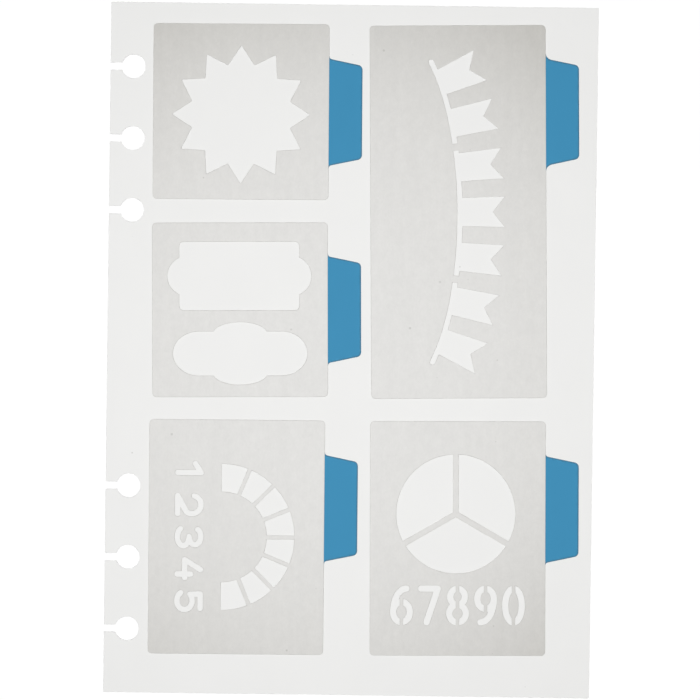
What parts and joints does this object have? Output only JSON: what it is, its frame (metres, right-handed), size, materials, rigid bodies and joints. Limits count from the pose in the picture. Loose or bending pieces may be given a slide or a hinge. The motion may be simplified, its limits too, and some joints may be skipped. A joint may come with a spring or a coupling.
{
  "type": "set of stencil bookmarks on a binder page",
  "caption": "Thin steel drawing stencils with coloured index tabs, stuck to a punched plastic page for a ring binder; each stencil lifts off the page to draw with or to mark a place.",
  "frame": {"origin": "middle of the page's back face, which lies on the table", "axes": "+X from the punched edge towards the index tabs, +Y up the page, +Z out of the page towards the user"},
  "size_m": [0.148, 0.21, 0.0009],
  "materials": {
    "page": "matte",
    "steel": "satin",
    "tab": "satin",
    "tape": "matte",
    "glue": "gloss"
  },
  "bodies": {
    "carrier": {"carrier_page": "page", "burst_glue_dot_1": "glue", "burst_glue_dot_2": "glue", "burst_glue_dot_3": "glue", "burst_glue_dot_4": "glue", "label_glue_dot_1": "glue", "label_glue_dot_2": "glue", "label_glue_dot_3": "glue", "label_glue_dot_4": "glue", "tracker_glue_dot_1": "glue", "tracker_glue_dot_2": "glue", "tracker_glue_dot_3": "glue", "tracker_glue_dot_4": "glue", "banner_glue_dot_1": "glue", "banner_glue_dot_2": "glue", "banner_glue_dot_3": "glue", "banner_glue_dot_4": "glue", "pie_glue_dot_1": "glue", "pie_glue_dot_2": "glue", "pie_glue_dot_3": "glue", "pie_glue_dot_4": "glue"},
    "burst_stencil": {"burst_plate": "steel", "burst_tab": "tab", "burst_tab_tape": "tape"},
    "label_stencil": {"label_plate": "steel", "label_tab": "tab", "label_tab_tape": "tape"},
    "tracker_stencil": {"tracker_plate": "steel", "tracker_tab": "tab", "tracker_tab_tape": "tape"},
    "banner_stencil": {"banner_plate": "steel", "banner_tab": "tab", "banner_tab_tape": "tape"},
    "pie_stencil": {"pie_plate": "steel", "pie_tab": "tab", "pie_tab_tape": "tape"}
  },
  "joints": [
    {"name": "burst_lift", "type": "slide", "parent": "carrier", "child": "burst_stencil", "axis": [0, 0, 1], "range_m": [0, 0.05]},
    {"name": "label_lift", "type": "slide", "parent": "carrier", "child": "label_stencil", "axis": [0, 0, 1], "range_m": [0, 0.05]},
    {"name": "tracker_lift", "type": "slide", "parent": "carrier", "child": "tracker_stencil", "axis": [0, 0, 1], "range_m": [0, 0.05]},
    {"name": "banner_lift", "type": "slide", "parent": "carrier", "child": "banner_stencil", "axis": [0, 0, 1], "range_m": [0, 0.05]},
    {"name": "pie_lift", "type": "slide", "parent": "carrier", "child": "pie_stencil", "axis": [0, 0, 1], "range_m": [0, 0.05]}
  ]
}
